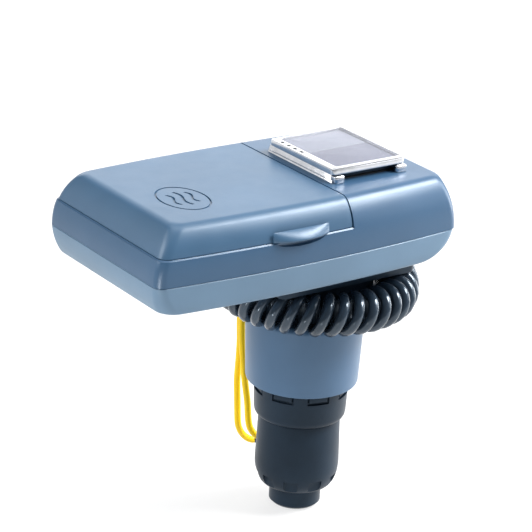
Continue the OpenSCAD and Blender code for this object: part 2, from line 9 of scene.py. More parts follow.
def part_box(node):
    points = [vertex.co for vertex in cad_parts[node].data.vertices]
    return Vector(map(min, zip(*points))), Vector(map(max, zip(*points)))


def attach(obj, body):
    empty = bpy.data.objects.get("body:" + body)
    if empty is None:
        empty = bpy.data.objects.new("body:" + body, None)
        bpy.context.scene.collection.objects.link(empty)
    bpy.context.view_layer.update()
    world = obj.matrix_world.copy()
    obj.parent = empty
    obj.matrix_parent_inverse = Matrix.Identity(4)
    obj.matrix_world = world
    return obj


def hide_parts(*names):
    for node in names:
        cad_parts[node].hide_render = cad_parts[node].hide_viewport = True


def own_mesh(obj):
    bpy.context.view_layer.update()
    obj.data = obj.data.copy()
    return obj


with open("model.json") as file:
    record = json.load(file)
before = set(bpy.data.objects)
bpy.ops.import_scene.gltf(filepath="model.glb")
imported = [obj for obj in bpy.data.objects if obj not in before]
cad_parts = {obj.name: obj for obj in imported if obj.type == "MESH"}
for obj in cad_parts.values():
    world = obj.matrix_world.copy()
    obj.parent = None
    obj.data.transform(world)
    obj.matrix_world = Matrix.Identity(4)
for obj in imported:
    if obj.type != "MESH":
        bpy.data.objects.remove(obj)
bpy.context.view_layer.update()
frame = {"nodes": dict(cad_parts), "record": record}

# Lengths are in millimetres until a mesh is made, and MM turns them into metres.
MM = 0.001


# ---------------------------------------------------------------- sizes from the frame
def span(*nodes):
    """Lowest and highest corner of some CAD nodes together, in millimetres."""
    boxes = [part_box(node) for node in nodes]
    low = np.min([np.array(b[0]) for b in boxes], axis=0) / MM
    high = np.max([np.array(b[1]) for b in boxes], axis=0) / MM
    return low, high


case_low, case_high = span("lower_case")
MID_X = (case_low[0] + case_high[0]) / 2
HALF_L = (case_high[0] - case_low[0]) / 2
HALF_W = (case_high[1] - case_low[1]) / 2
SEAM = case_high[2]
BASE_H = SEAM - case_low[2]
TOP_H = span("lid")[1][2] - SEAM
SIDE_BOW = 3.4  # how much narrower each side is at the box's ends
BAND_H = 9.4  # the fixed blue band between the seam and the lid
PART_X = 14.4  # the lid's parting line, from the box's middle
WALL = 2.0
HINGE_Y = (span("lid_hinge_pins")[0][1] + span("lid_hinge_pins")[1][1]) / 2
HINGE_Z = (span("lid_hinge_pins")[0][2] + span("lid_hinge_pins")[1][2]) / 2
WELL_FLOOR = span("faceplate")[0][2] - SEAM

housing_low, housing_high = span("actuator_housing")
HOUSING_DRAFT = 1.0
HOUSING_R = housing_high[0] - HOUSING_DRAFT
CUP_R = span("valve_adapter")[1][0]
CUP_TOP = span("valve_adapter")[1][2]
BASE_TOP = housing_low[2]
NECK_R = span("neck_post")[1][0]
SPIGOT_END = span("valve_adapter")[0][2]
GLAND_Z = (span("actuator_gland")[0][2] + span("actuator_gland")[1][2]) / 2


# ---------------------------------------------------------------- camera
CAMERA_AZIMUTH = math.radians(-35.9)
CAMERA_ELEVATION = math.radians(21.4)
CAMERA_ROLL = math.radians(3.0)
CAMERA_DISTANCE = 816.5
CAMERA_LENS = 158.3
AIM_RIGHT = 3.9
AIM_UP = -14.1


def make_camera():
    a, e = CAMERA_AZIMUTH, CAMERA_ELEVATION
    back = Vector((math.sin(a) * math.cos(e), -math.cos(a) * math.cos(e), math.sin(e)))
    level = Vector((math.cos(a), math.sin(a), 0))
    upright = back.cross(level)
    right = level * math.cos(CAMERA_ROLL) + upright * math.sin(CAMERA_ROLL)
    up = upright * math.cos(CAMERA_ROLL) - level * math.sin(CAMERA_ROLL)
    aim = Vector((MID_X, 0, SEAM)) + right * AIM_RIGHT + up * AIM_UP
    data = bpy.data.cameras.new("camera")
    data.lens = CAMERA_LENS
    camera = bpy.data.objects.new("camera", data)
    bpy.context.collection.objects.link(camera)
    turn = Matrix((right, up, back)).transposed().to_4x4()
    camera.matrix_world = Matrix.Translation((aim + back * CAMERA_DISTANCE) * MM) @ turn
    bpy.context.scene.camera = camera


make_camera()


# ---------------------------------------------------------------- materials
# The part of a noise's range in which its colour changes.
RAMP_LOW = 0.35
RAMP_HIGH = 0.65


class Shader:
    """A Principled material whose nodes are added one call at a time."""

    def __init__(self, name, roughness, metallic=0.0):
        self.material = bpy.data.materials.new(name)
        self.material.use_nodes = True
        self.nodes = self.material.node_tree.nodes
        self.links = self.material.node_tree.links
        self.main = self.nodes["Principled BSDF"]
        self.main.inputs["Roughness"].default_value = roughness
        self.main.inputs["Metallic"].default_value = metallic
        self.place = self.nodes.new("ShaderNodeTexCoord").outputs["Object"]

    def noise(self, scale, detail, stretch=None):
        """Noise with so many cells in a metre."""
        where = self.place
        if stretch:
            mapping = self.nodes.new("ShaderNodeMapping")
            mapping.inputs["Scale"].default_value = stretch
            self.links.new(where, mapping.inputs["Vector"])
            where = mapping.outputs["Vector"]
        node = self.nodes.new("ShaderNodeTexNoise")
        node.inputs["Scale"].default_value = scale
        node.inputs["Detail"].default_value = detail
        self.links.new(where, node.inputs["Vector"])
        return node.outputs["Fac"]

    def colour(self, source, dark, light):
        ramp = self.nodes.new("ShaderNodeValToRGB")
        ramp.color_ramp.elements[0].position = RAMP_LOW
        ramp.color_ramp.elements[0].color = (*dark, 1)
        ramp.color_ramp.elements[1].position = RAMP_HIGH
        ramp.color_ramp.elements[1].color = (*light, 1)
        self.links.new(source, ramp.inputs["Fac"])
        self.links.new(ramp.outputs["Color"], self.main.inputs["Base Color"])

    def roughness(self, source, low, high):
        spread = self.nodes.new("ShaderNodeMapRange")
        spread.inputs["To Min"].default_value = low
        spread.inputs["To Max"].default_value = high
        self.links.new(source, spread.inputs["Value"])
        self.links.new(spread.outputs["Result"], self.main.inputs["Roughness"])

    def bump(self, source, height, strength):
        node = self.nodes.new("ShaderNodeBump")
        node.inputs["Distance"].default_value = height * MM
        node.inputs["Strength"].default_value = strength
        self.links.new(source, node.inputs["Height"])
        self.links.new(node.outputs["Normal"], self.main.inputs["Normal"])


def tinted(colour, factor):
    return tuple(min(1.0, c * factor) for c in colour)


DRIFT_SCALE = 45
PATCH_SCALE = 130
PATCH_LOW = -0.05
PATCH_HIGH = 0.07
GRAIN_STRENGTH = 0.6
COAT_ROUGHNESS = 0.12


def moulded(name, colour, roughness, grain=0.03, grain_scale=2600, variation=0.05, coat=0.0, specular=0.5,
            specular_tint=(1, 1, 1)):
    """Injection-moulded plastic: spark-eroded grain, slow colour drift, patchy sheen."""
    shader = Shader(name, roughness)
    shader.colour(shader.noise(DRIFT_SCALE, 4), tinted(colour, 1 - variation), tinted(colour, 1 + variation))
    shader.roughness(shader.noise(PATCH_SCALE, 5), roughness + PATCH_LOW, roughness + PATCH_HIGH)
    shader.bump(shader.noise(grain_scale, 2), grain, GRAIN_STRENGTH)
    shader.main.inputs["Specular IOR Level"].default_value = specular
    shader.main.inputs["Specular Tint"].default_value = (*specular_tint, 1)
    shader.main.inputs["Coat Weight"].default_value = coat
    shader.main.inputs["Coat Roughness"].default_value = COAT_ROUGHNESS
    return shader.material


STAIN_SCALE = 300
BRUSH_SCALE = 900
SCRATCH_SCALE = 1500
MIRROR_ROUGHNESS = 0.02


def metal(name, colour, roughness, brush=(1, 1, 1), scratch=0.01):
    """Bare or plated metal; brush stretches its streaks, and scratch is their depth in millimetres."""
    shader = Shader(name, roughness, 1.0)
    shader.colour(shader.noise(STAIN_SCALE, 4, brush), tinted(colour, 0.92), tinted(colour, 1.05))
    smoothest = max(MIRROR_ROUGHNESS, roughness - 0.05)
    shader.roughness(shader.noise(BRUSH_SCALE, 4, brush), smoothest, roughness + 0.08)
    shader.bump(shader.noise(SCRATCH_SCALE, 3, brush), scratch, 0.5)
    return shader.material


RUBBER_ROUGHNESS = 0.62
RUBBER_DRIFT_SCALE = 90
RUBBER_PATCH_SCALE = 200
RUBBER_GRAIN_SCALE = 3000
RUBBER_GRAIN = 0.03


def rubber(name, colour):
    shader = Shader(name, RUBBER_ROUGHNESS)
    shader.colour(shader.noise(RUBBER_DRIFT_SCALE, 4), tinted(colour, 0.85), tinted(colour, 1.2))
    shader.roughness(shader.noise(RUBBER_PATCH_SCALE, 4), 0.5, 0.72)
    shader.bump(shader.noise(RUBBER_GRAIN_SCALE, 3), RUBBER_GRAIN, 0.5)
    return shader.material


SHEET_IOR = 1.5
SHEET_SPECULAR = 0.1
SHEET_HAZE_SCALE = 60


def clear_sheet(name, colour, alpha):
    """A thin clear cover with a little haze."""
    shader = Shader(name, 0.2)
    shader.main.inputs["Base Color"].default_value = (*colour, 1)
    shader.main.inputs["Alpha"].default_value = alpha
    shader.main.inputs["IOR"].default_value = SHEET_IOR
    shader.main.inputs["Specular IOR Level"].default_value = SHEET_SPECULAR
    shader.roughness(shader.noise(SHEET_HAZE_SCALE, 3), 0.16, 0.24)
    return shader.material


COOL = (0.68, 0.84, 1.0)
BLUE_SHEEN = (0.84, 0.92, 1.0)
M = {
    # case_lid and case_upper are one blue plastic: the lid's copy is painted lighter, as painted light on its
    # sloping walls, and the band's copy darker, as painted shade on its front.
    "case_lid": moulded("blue_lid_plastic", (0.038, 0.088, 0.155), 0.36, specular_tint=BLUE_SHEEN),
    "case_upper": moulded("blue_case_plastic", (0.030, 0.075, 0.141), 0.34, specular_tint=BLUE_SHEEN),
    "case_lower": moulded("blue_base_plastic", (0.102, 0.172, 0.250), 0.38, specular_tint=BLUE_SHEEN),
    "housing_blue": moulded("blue_housing_plastic", (0.058, 0.124, 0.220), 0.34, grain=0.02,
                            specular_tint=BLUE_SHEEN),
    "black_plastic": moulded("black_plastic", (0.009, 0.018, 0.031), 0.38, grain_scale=2200, variation=0.2,
                             specular=0.25, specular_tint=COOL),
    "cord_black": moulded("cord_jacket", (0.019, 0.030, 0.045), 0.20, grain=0.01, grain_scale=1800,
                          variation=0.2, coat=0.25, specular=0.6, specular_tint=COOL),
    "black_rubber": rubber("black_rubber", (0.016, 0.019, 0.024)),
    "yellow_wire": moulded("yellow_insulation", (0.84, 0.56, 0.006), 0.36, grain=0.015, grain_scale=2400,
                           specular=0.25),
    "chrome_trim": metal("bright_chrome", (0.66, 0.67, 0.70), 0.16, scratch=0.003),
    "steel": metal("zinc_plated_steel", (0.60, 0.61, 0.63), 0.30),
    "iron_can": metal("plated_iron", (0.42, 0.43, 0.45), 0.36),
    "brass_tube": metal("drawn_brass", (0.70, 0.50, 0.22), 0.25, brush=(1, 1, 0.05)),
    "copper": metal("enamelled_copper", (0.62, 0.25, 0.10), 0.28, brush=(1, 1, 40)),
    "panel_glass": clear_sheet("cover_glass", (0.86, 0.89, 0.96), 0.10),
    # The rear cell film is a lighter copy of the front one; its extra lightness is a painted reflection of
    # the bright sky over the panel.
    "cell_light": moulded("cell_film_painted_reflection", (0.205, 0.215, 0.258), 0.45, grain=0.002, grain_scale=300,
                          variation=0.03, specular=0.05),
    "cell_dark": moulded("cell_film_dark", (0.132, 0.137, 0.178), 0.45, grain=0.002, grain_scale=300,
                         variation=0.03, specular=0.05),
    "panel_backing": moulded("panel_backing", (0.02, 0.022, 0.03), 0.5),
    "nylon": moulded("natural_nylon", (0.78, 0.74, 0.64), 0.45),
    "keypad_plate": moulded("keypad_overlay", (0.36, 0.39, 0.42), 0.42, grain=0.015, grain_scale=3000,
                            variation=0.03),
    "button_grey": moulded("button_rubber", (0.045, 0.065, 0.09), 0.5, grain=0.02, variation=0.1),
    "keypad_rubber": rubber("silicone_mat", (0.62, 0.60, 0.55)),
    "lcd_face": moulded("lcd_glass", (0.30, 0.34, 0.26), 0.18, grain=0.002, grain_scale=400, variation=0.04,
                        coat=0.5),
    "circuit_board": moulded("solder_mask", (0.012, 0.10, 0.035), 0.3, grain=0.02, grain_scale=900,
                             variation=0.25, coat=0.4),
    "capacitor_sleeve": moulded("capacitor_sleeve", (0.02, 0.06, 0.26), 0.25, grain=0.01, grain_scale=1500,
                                variation=0.08),
    "terminal_green": moulded("terminal_plastic", (0.03, 0.22, 0.07), 0.35),
}
SLOTS = {s["node"]: s["material_slot"] for s in frame["record"]["subparts"]}


def dress(obj, slot):
    """Gives a piece the material of its slot."""
    obj.data.materials.clear()
    obj.data.materials.append(M[slot])


# ---------------------------------------------------------------- mesh helpers
SHARP_ANGLE = math.radians(33)


def finish_mesh(mesh):
    mesh.polygons.foreach_set("use_smooth", [True] * len(mesh.polygons))
    mesh.set_sharp_from_angle(angle=SHARP_ANGLE)


def make(name, points, faces, slot, body="head", replaces=()):
    """A mesh piece from points in millimetres. It rides on a body and stands for CAD nodes."""
    mesh = bpy.data.meshes.new(name)
    mesh.from_pydata([tuple(c * MM for c in p) for p in points], [], faces)
    mesh.validate()
    finish_mesh(mesh)
    obj = bpy.data.objects.new(name, mesh)
    bpy.context.collection.objects.link(obj)
    if slot:
        dress(obj, slot)
    if body:
        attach(obj, body)
    if replaces:
        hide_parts(*replaces)
    return obj


def loft_data(rings, closed=False):
    """Points and faces of a skin over rings that all have the same number of points.

    The two ends are capped, unless the skin closes on itself."""
    count, size = len(rings), len(rings[0])
    points = [tuple(p) for ring in rings for p in ring]
    faces = []
    for k in range(count if closed else count - 1):
        low, high = k * size, (k + 1) % count * size
        for i in range(size):
            j = (i + 1) % size
            faces.append((low + i, low + j, high + j, high + i))
    if not closed:
        faces.append(tuple(range(size - 1, -1, -1)))
        faces.append(tuple((count - 1) * size + i for i in range(size)))
    return points, faces


def joined(*parts):
    """Several (points, faces) pairs as one."""
    points, faces = [], []
    for more_points, more_faces in parts:
        start = len(points)
        points += list(more_points)
        faces += [tuple(start + i for i in face) for face in more_faces]
    return points, faces


def moved(data, by=(0, 0, 0), turn=None):
    """Points and faces after a turn about the origin and then a shift."""
    points, faces = data
    if turn is not None:
        points = [tuple(turn @ Vector(p)) for p in points]
    return [tuple(np.array(p) + np.array(by)) for p in points], faces


def soften(profile, radius, steps=4):
    """Rounds the inner corners of an open outline with arcs (as quadratic curves)."""
    out = [np.array(profile[0], float)]
    for before, here, after in zip(profile, profile[1:], profile[2:]):
        before, here, after = (np.array(p, float) for p in (before, here, after))
        a, b = before - here, after - here
        cut = min(radius, 0.45 * np.linalg.norm(a), 0.45 * np.linalg.norm(b))
        p, q = here + a / np.linalg.norm(a) * cut, here + b / np.linalg.norm(b) * cut
        for i in range(steps + 1):
            t = i / steps
            out.append((1 - t) ** 2 * p + 2 * t * (1 - t) * here + t * t * q)
    out.append(np.array(profile[-1], float))
    return out


AXIS_R = 0.001  # stands for a radius of nought


def lathe(profile, sides=96):
    """A body turned round Z from (radius, z) pairs that run from the bottom to the top."""
    rings = []
    for r, z in profile:
        r = max(r, AXIS_R)
        rings.append([(r * math.cos(2 * math.pi * k / sides), r * math.sin(2 * math.pi * k / sides), z)
                      for k in range(sides)])
    return loft_data(rings)


def corner(cx, cy, r, start, steps):
    """A quarter circle."""
    angles = [start + math.pi / 2 * i / steps for i in range(steps + 1)]
    return [(cx + r * math.cos(a), cy + r * math.sin(a)) for a in angles]


def run(x0, y0, x1, y1, steps):
    """The points between a straight side's two ends."""
    return [(x0 + (x1 - x0) * i / steps, y0 + (y1 - y0) * i / steps) for i in range(1, steps)]


def rectangle(x0, x1, y0, y1, radii, corner_steps=6, side_steps=1, end_steps=1):
    """A rounded rectangle, counter-clockwise; radii are those of the left and the right corners."""
    left, right = radii
    half = math.pi / 2
    return (corner(x0 + left, y0 + left, left, 2 * half, corner_steps)
            + run(x0 + left, y0, x1 - right, y0, side_steps)
            + corner(x1 - right, y0 + right, right, 3 * half, corner_steps)
            + run(x1, y0 + right, x1, y1 - right, end_steps)
            + corner(x1 - right, y1 - right, right, 0, corner_steps)
            + run(x1 - right, y1, x0 + left, y1, side_steps)
            + corner(x0 + left, y1 - left, left, half, corner_steps)
            + run(x0, y1 - left, x0, y0 + left, end_steps))


def at_height(outline, z):
    return [(x, y, z) for x, y in outline]


def block(x0, x1, y0, y1, z0, z1, r=1.0, edge=0.3, steps=6):
    """A block with rounded upright corners and softened top and bottom edges."""
    rings = []
    for z, inset in ((z0, edge), (z0 + 0.3 * edge, 0.3 * edge), (z0 + edge, 0), (z1 - edge, 0),
                     (z1 - 0.3 * edge, 0.3 * edge), (z1, edge)):
        radius = max(r - inset, 0.05)
        outline = rectangle(x0 + inset, x1 - inset, y0 + inset, y1 - inset, (radius, radius), steps)
        rings.append(at_height(outline, z))
    return loft_data(rings)


def box_of(node, r, edge):
    """A rounded block as large as a CAD node."""
    low, high = span(node)
    return block(low[0], high[0], low[1], high[1], low[2], high[2], r, edge)


def boolean(obj, data, operation="DIFFERENCE"):
    """Cuts a shape (points and faces, or a made tool) out of a mesh piece, or adds it with UNION."""
    tool = data if isinstance(data, bpy.types.Object) else make("tool", *data, slot=None, body=None)
    modifier = obj.modifiers.new("cut", "BOOLEAN")
    modifier.operation = operation
    modifier.solver = "EXACT"
    modifier.object = tool
    graph = bpy.context.evaluated_depsgraph_get()
    mesh = bpy.data.meshes.new_from_object(obj.evaluated_get(graph))
    obj.modifiers.clear()
    obj.data = mesh
    bpy.data.objects.remove(tool)
    finish_mesh(mesh)


# ---------------------------------------------------------------- cords
BEVEL_STEPS = 6


def curve_piece(name, route, diameter, slot, replaces):
    """A round cord along a route, as a curve."""
    curve = bpy.data.curves.new(name, "CURVE")
    curve.dimensions = "3D"
    curve.bevel_depth = diameter / 2 * MM
    curve.bevel_resolution = BEVEL_STEPS
    curve.use_fill_caps = True
    spline = curve.splines.new("POLY")
    spline.points.add(len(route) - 1)
    for point, place in zip(spline.points, route):
        point.co = (*(float(c) * MM for c in place), 1)
    spline.use_smooth = True
    obj = bpy.data.objects.new(name, curve)
    bpy.context.collection.objects.link(obj)
    dress(obj, slot)
    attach(obj, "head")
    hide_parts(*replaces)
    return obj


def smooth(points, steps):
    """Points along the Catmull-Rom curve through a route."""
    pts = [np.array(p, float) for p in points]
    pts = [2 * pts[0] - pts[1]] + pts + [2 * pts[-1] - pts[-2]]
    out = []
    for a, b, c, d in zip(pts, pts[1:], pts[2:], pts[3:]):
        for s in range(steps):
            t = s / steps
            out.append(0.5 * (2 * b + (c - a) * t + (2 * a - 5 * b + 4 * c - d) * t * t
                              + (3 * b - a - 3 * c + d) * t ** 3))
    out.append(pts[-2])
    return out


# The curly cord is a coil of COIL_R that is laid in a ring of RING_R round the neck, with a gap at the back.
LEAD_D = 3.8
COIL_R = 8.0
RING_R = 29.6
RING_CENTRE = np.array([4.3, 0.7, span("curly_cord")[0][2] + COIL_R])
GAP_HALF = math.radians(32)
COIL_TURNS = 30.5
POINTS_A_TURN = 24
LEAN = 1.3  # how far along the ring a turn's outer side is carried
SAG = 0.12
# Towards its right end the ring climbs, and draws in to the neck.
CLIMB = 7.7
CLIMB_FROM = math.radians(308)
CLIMB_SPAN = math.radians(66)
DRAW_IN = 3.2
DRAW_FROM = math.radians(326)
DRAW_SPAN = math.radians(50)
LEAD_REACH = COIL_R - LEAD_D / 2 - 0.1
FROM_NECK = [(0, span("actuator_gland")[1][1], GLAND_Z), (-0.1, 21.6, 77.4), (-1.4, 25, 75.4),
             (-5, 28, 72), (-10.2, 29.8, 71), (-13.9, 30.6, 73.2)]
BOX_EXIT = (8, 29)
TO_BOX = [(14.5, 17.4, 80.3), (13.1, 19.7, 76.6), (10.8, 24, 75.6), (8.8, 27.5, 78.6), (8.1, 28.8, 83),
          (*BOX_EXIT, 86.5), (*BOX_EXIT, span("box_gland")[0][2])]


def ease(t):
    """A smooth step from 0 to 1."""
    t = min(1.0, max(0.0, t))
    return t * t * (3 - 2 * t)


def coil_point(turns):
    """A point of the curly cord, counted in turns from its left end."""
    around = math.pi / 2 + GAP_HALF + turns / COIL_TURNS * (2 * math.pi - 2 * GAP_HALF)
    wind = 2 * math.pi * turns
    sag = SAG * math.sin(3 * around + 0.6)
    height = CLIMB * ease((around - CLIMB_FROM) / CLIMB_SPAN) + sag + LEAD_REACH * math.sin(wind)
    radius = RING_R - DRAW_IN * ease((around - DRAW_FROM) / DRAW_SPAN)
    leaned = around + LEAN / RING_R * math.sin(wind)
    out = np.array([math.cos(leaned), math.sin(leaned), 0])
    return RING_CENTRE + out * (radius + LEAD_REACH * math.cos(wind)) + np.array([0, 0, height])


def curly_cord():
    steps = round(COIL_TURNS * POINTS_A_TURN)
    coil = [coil_point(i / POINTS_A_TURN) for i in range(steps + 1)]
    route = smooth(FROM_NECK + [coil[0]], 5)[:-1] + coil + smooth([coil[-1]] + TO_BOX, 5)[1:]
    cord = curve_piece("curly_cord_lead", route, LEAD_D, "cord_black",
                       ("curly_cord", "cord_tail_box", "cord_tail_actuator"))


WIRE_D = 2.6
WIRE_TOP = span("sensor_grommet")[0][2]
SPLICE = [(6.2, 36.2, -0.6), (10, 34.9, 0.1), (11.7, 31.5, 2), (10, 28.1, 3.9), (6.2, 26.9, 4.7)]
LEFT_STRAND = [(-4.3, 34.7, WIRE_TOP), (-4.2, 34.8, 75), (-3.8, 35, 53), (-3.3, 35.1, 43), (-3.4, 35.2, 35),
               (-3.5, 35.4, 27), (-2.8, 35.6, 18), (-2, 35.9, 9.6), (-0.9, 36.2, 6), (1.1, 36.5, 2.8),
               (3.7, 36.5, 0.4)]
RIGHT_STRAND = [(-5.8, 31.6, WIRE_TOP), (-5.6, 31.8, 75), (-5.2, 31.8, 54.6), (-4.7, 31.7, 44.8),
                (-4.1, 31.2, 36.8), (-3.5, 30.4, 28.8), (-2.7, 29.3, 20.7), (-2.5, 28.2, 13),
                (-1.9, 27.6, 9.8), (-0.1, 27, 7.1), (2.6, 26.7, 5.4)]
SLEEVE_R = WIRE_D / 2 + 0.18
SLEEVE_END = 0.15  # how much the sleeve narrows at its ends
ASKEW = (0.12, 0.57, 0.82)  # a direction that no swept route follows


def swept(route, radii, sides=16):
    """A closed tube along a route, with one radius for each of its points."""
    rings = []
    for i, here in enumerate(route):
        ahead = np.array(route[min(i + 1, len(route) - 1)]) - np.array(route[max(i - 1, 0)])
        ahead = ahead / np.linalg.norm(ahead)
        side = np.cross(ahead, ASKEW)
        side = side / np.linalg.norm(side)
        other = np.cross(ahead, side)
        rings.append([tuple(np.array(here) + radii[i] * (math.cos(a) * side + math.sin(a) * other))
                      for a in (2 * math.pi * k / sides for k in range(sides))])
    return loft_data(rings)


def sensor_loop():
    route = smooth(LEFT_STRAND + SPLICE + RIGHT_STRAND[::-1], 6)
    wire = curve_piece("sensor_wire_loop", route, WIRE_D, "yellow_wire", ("sensor_wire",))
    foot = smooth(SPLICE, 8)
    radii = [SLEEVE_R - SLEEVE_END * max(0, 1 - min(i, len(foot) - 1 - i) / 2) for i in range(len(foot))]
    sleeve = make("splice_sleeve", *swept(foot, radii), slot="black_rubber", replaces=("wire_splice",))


curly_cord()
sensor_loop()


# ---------------------------------------------------------------- control box
def bow(x):
    """The box's width at a place along it, as a share of its width in the middle."""
    return 1 - SIDE_BOW / HALF_W * (x / HALF_L) ** 2


def in_box(outline, z):
    """An outline in the box's own frame with its sides bowed, at a height above the seam."""
    return [(x + MID_X, y * bow(x), z + SEAM) for x, y in outline]


def plan(left, right, width, radii, corner_steps=10):
    """A rounded rectangle that lies evenly across the box; width is half of its width."""
    return rectangle(left, right, -width, width, radii, corner_steps, 40, 16)


# How far each upper wall leans in over its full height, the power of that curve, and how far below the
# flat top the wall starts to roll over.
END_LEAN, END_CURVE, END_ROLL = 8.8, 2.4, 1.5
SOLAR_LEAN, SOLAR_CURVE, SOLAR_ROLL = 4.8, 1.8, 1.0
SIDE_LEAN, SIDE_CURVE, SIDE_ROLL = 6.3, 3.2, 2.0
# The radius of the upper shell's upright corners at the seam, and how much it grows towards the top.
CORNER_R = 3.4
CORNER_GROWTH = 0.6


def end_inset(z):
    """How far the wall at the lid's end has come in at a height."""
    return END_LEAN * (z / TOP_H) ** END_CURVE


def solar_inset(z):
    """The same for the wall at the solar end."""
    return SOLAR_LEAN * (z / TOP_H) ** SOLAR_CURVE


def side_inset(z):
    """The same for the front and back walls."""
    return SIDE_LEAN * (z / TOP_H) ** SIDE_CURVE


def rolled(inset, z, roll):
    """An inset whose last stretch below the flat top is rolled over with a quadratic curve."""
    start = TOP_H - roll
    if z <= start:
        return inset(z)
    step = 0.01
    slope = (inset(start) - inset(start - step)) / step
    peak = inset(start) + roll * slope
    t = 1 - math.sqrt(max(0.0, TOP_H - z) / roll)
    return (1 - t) ** 2 * inset(start) + 2 * t * (1 - t) * peak + t * t * (peak + roll * math.hypot(1, slope))


def upper_profile(z0, steps=12):
    """(lid-end, solar-end and side inset, height) from z0 to the flat top, with the edges rolled over."""
    start = TOP_H - SIDE_ROLL
    heights = [z0 + (start - z0) * i / steps for i in range(steps)]
    heights += [TOP_H - SIDE_ROLL * (1 - i / 12) ** 2 for i in range(13)]
    return [(rolled(end_inset, z, END_ROLL), rolled(solar_inset, z, SOLAR_ROLL),
             rolled(side_inset, z, SIDE_ROLL), z) for z in heights]


def upper_corner(z):
    return CORNER_R + CORNER_GROWTH * z / TOP_H


BAND_CHAMFER = 0.42
LIP_X = -7.7
LIP_HALF = 11.3
RECESS_DEPTH = 1.5
RECESS_H = 2.4


def lid_side():
    """An outline of the lid's part of the box that reaches past its walls."""
    return plan(-HALF_L - 5, PART_X, HALF_W + 6, (0.3, 0.3), 2)


def chamfer_band(case):
    """Bevels the band's top edge under the lid, up to the lid's parting plane."""
    reach = lid_side()
    low = BAND_H - BAND_CHAMFER
    cutter = make("edge_cutter", *loft_data([in_box(reach, low), in_box(reach, BAND_H + 1)]),
                  slot=None, body=None)
    island = []
    for z in (BAND_H - 2 * BAND_CHAMFER, BAND_H + 1.5):
        inset = z - low
        left = end_inset(BAND_H) - HALF_L + inset
        island.append(in_box(plan(left, HALF_L, HALF_W - side_inset(BAND_H) - inset, (3.6, 3.6)), z))
    boolean(cutter, loft_data(island))
    boolean(case, cutter)


def finger_recess():
    """A shallow crescent scoop in the band, under the lid's lip."""
    rings = []
    steps = 24
    for i in range(steps + 1):
        u = -1 + 2 * i / steps
        x = LIP_X + LIP_HALF * u
        wall = -HALF_W * bow(x)
        into = wall + RECESS_DEPTH * max(0.01, 1 - u * u) ** 0.7
        low = BAND_H - RECESS_H * max(0.02, 1 - u * u) ** 0.6
        outline = [(wall - 1, low), (wall, low), (into, min(low + 0.45, BAND_H - 0.02))]
        outline += [(into, BAND_H + 0.5), (wall - 1, BAND_H + 0.5)]
        rings.append([(x + MID_X, y, z + SEAM) for y, z in outline])
    return loft_data(rings)


SHELL = 2.4
GASKET_DEPTH = 0.8
DECK_INSET = 6.6
DECK_FLOOR = 4
DECK_ROOF = TOP_H - 2.2
RIM_EDGE = 0.4


def blue_case_upper():
    """The shell above the seam: the band, the keypad's well, the gasket's groove and the raised deck."""
    rings = []
    profile = upper_profile(0.25, 16)
    profile = [(0.25, 0.25, 0.25, 0.0)] + profile + [(*(inset + 1 for inset in profile[-1][:3]), TOP_H)]
    for end, solar, side, z in profile:
        r = upper_corner(z)
        rings.append(in_box(plan(end - HALF_L, HALF_L - solar, HALF_W - side, (r, r)), z))
    case = make("case_top_shell", *loft_data(rings), slot="case_upper", replaces=("upper_case",))
    gap = lid_side()
    boolean(case, loft_data([in_box(gap, BAND_H), in_box(gap, TOP_H + 5)]))
    chamfer_band(case)
    boolean(case, finger_recess())
    hollow = plan(SHELL - HALF_L, HALF_L - SHELL, HALF_W - SHELL, (3, 3))
    boolean(case, loft_data([in_box(hollow, -1), in_box(hollow, WELL_FLOOR - WALL)]))
    deck = plan(PART_X + WALL, HALF_L - DECK_INSET, HALF_W - DECK_INSET, (3, 3))
    boolean(case, loft_data([in_box(deck, DECK_FLOOR), in_box(deck, DECK_ROOF)]))
    edge = ((0, WELL_FLOOR), (0, BAND_H - RIM_EDGE), (RIM_EDGE, BAND_H), (RIM_EDGE, BAND_H + 1))
    boolean(case, loft_data([in_box(plan(4.5 - HALF_L - e, 9.5 + e, HALF_W - 3.4 + e, (3, 3)), z)
                             for e, z in edge]))
    outside = plan(2.7 - HALF_L, 11.4, HALF_W - 2, (4, 4))
    inside = plan(3.7 - HALF_L, 10.4, HALF_W - 2.8, (3.4, 3.4))
    low, high = BAND_H - GASKET_DEPTH, BAND_H + 1
    groove = [in_box(outside, low), in_box(outside, high), in_box(inside, high), in_box(inside, low)]
    boolean(case, loft_data(groove, closed=True))


HINGE_SPOTS = (-35.0, -5.0)
HINGE_R = 2.0
KNUCKLE_HALF = 3.5
EAR_FROM = 3.9
EAR_W = 4.6


def hinge_barrel(x0, x1):
    """A cylinder with bevelled ends along the hinge's axis."""
    turned = Matrix(((0, 0, 1), (0, 1, 0), (-1, 0, 0)))
    r = HINGE_R
    profile = [(0, x0), (r - 0.25, x0), (r, x0 + 0.25), (r, x1 - 0.25), (r - 0.25, x1), (0, x1)]
    return moved(lathe(profile, 32), (MID_X, HINGE_Y, HINGE_Z), turned)


def case_hinge_ears():
    parts = []
    for x in HINGE_SPOTS:
        for x0 in (x - EAR_FROM - EAR_W, x + EAR_FROM):
            parts.append(hinge_barrel(x0, x0 + EAR_W))
            parts.append(block(MID_X + x0, MID_X + x0 + EAR_W, HALF_W - 2.6, HINGE_Y - 0.4,
                               HINGE_Z - 2, HINGE_Z - 0.3, 0.3, 0.2))
    make("hinge_ears", *joined(*parts), slot="case_upper")


LID_GAP = 0.04
LID_RIGHT = PART_X - 0.22
LID_EDGE = 0.6
# How far the lid's foot stands back from the band; this fades towards the top.
LID_INSET = 0.45
LID_END_INSET = 0.42


def lid_ring(end, right, side, radii, z):
    """A ring of the lid from its insets at the end and the sides, and the place of its right edge."""
    return in_box(plan(end - HALF_L, right, HALF_W - side, radii), z)


